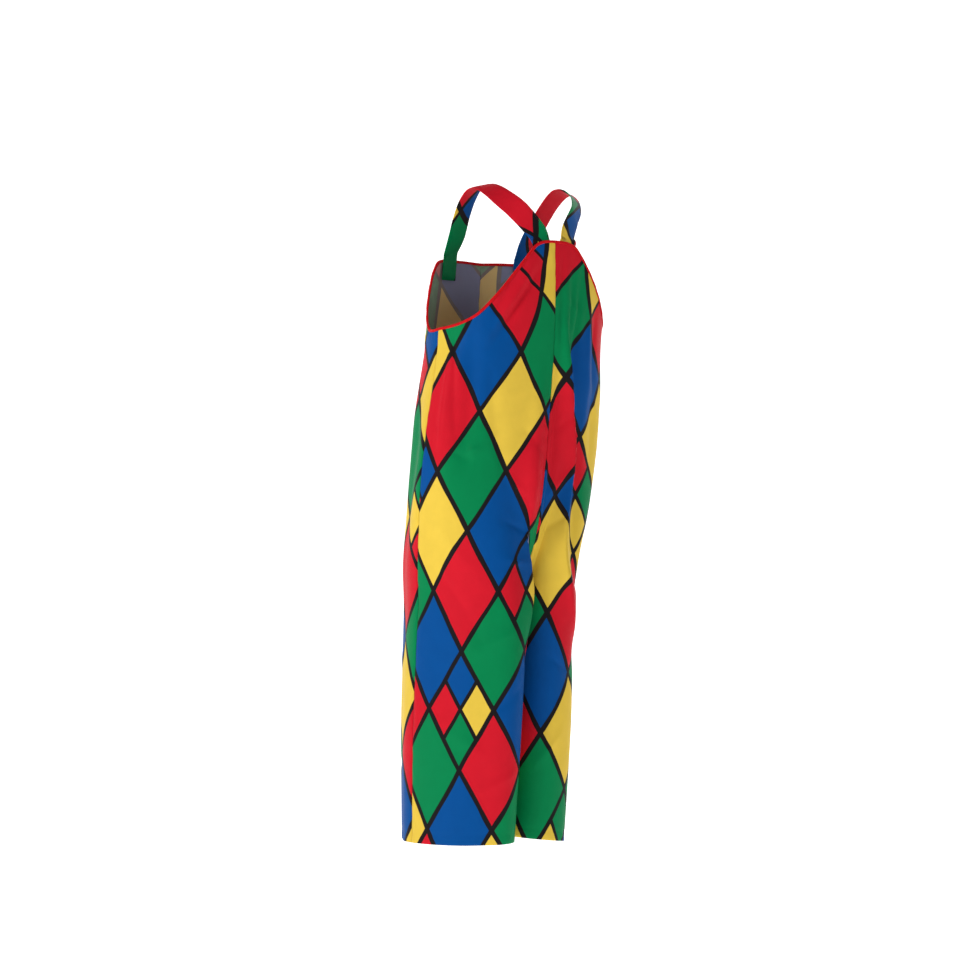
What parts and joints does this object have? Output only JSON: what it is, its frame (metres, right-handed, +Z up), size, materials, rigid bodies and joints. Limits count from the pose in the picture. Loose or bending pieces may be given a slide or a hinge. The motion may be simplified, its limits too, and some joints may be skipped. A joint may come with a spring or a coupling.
{
  "type": "clown dungarees",
  "caption": "Loose straight-legged clown dungarees as worn: pointed back, bib, shoulder straps, bound edges and a bright harlequin print.",
  "frame": {"origin": "midway between the undersides of the two straps where they cross the shoulders", "axes": "+Z up, -Y the way the wearer faces, +X the wearer's left"},
  "size_m": [0.3618, 0.264, 1.1214],
  "materials": {
    "print_cloth": "smooth woven polyester with a soft sheen, printed all over",
    "edge_tape": "folded plain-weave tape"
  },
  "bodies": {
    "root": {"left_back": "print_cloth", "right_back": "print_cloth", "left_front": "print_cloth", "right_front": "print_cloth", "left_strap": "print_cloth", "right_strap": "print_cloth", "back_binding": "edge_tape", "front_binding": "edge_tape"}
  },
  "joints": []
}
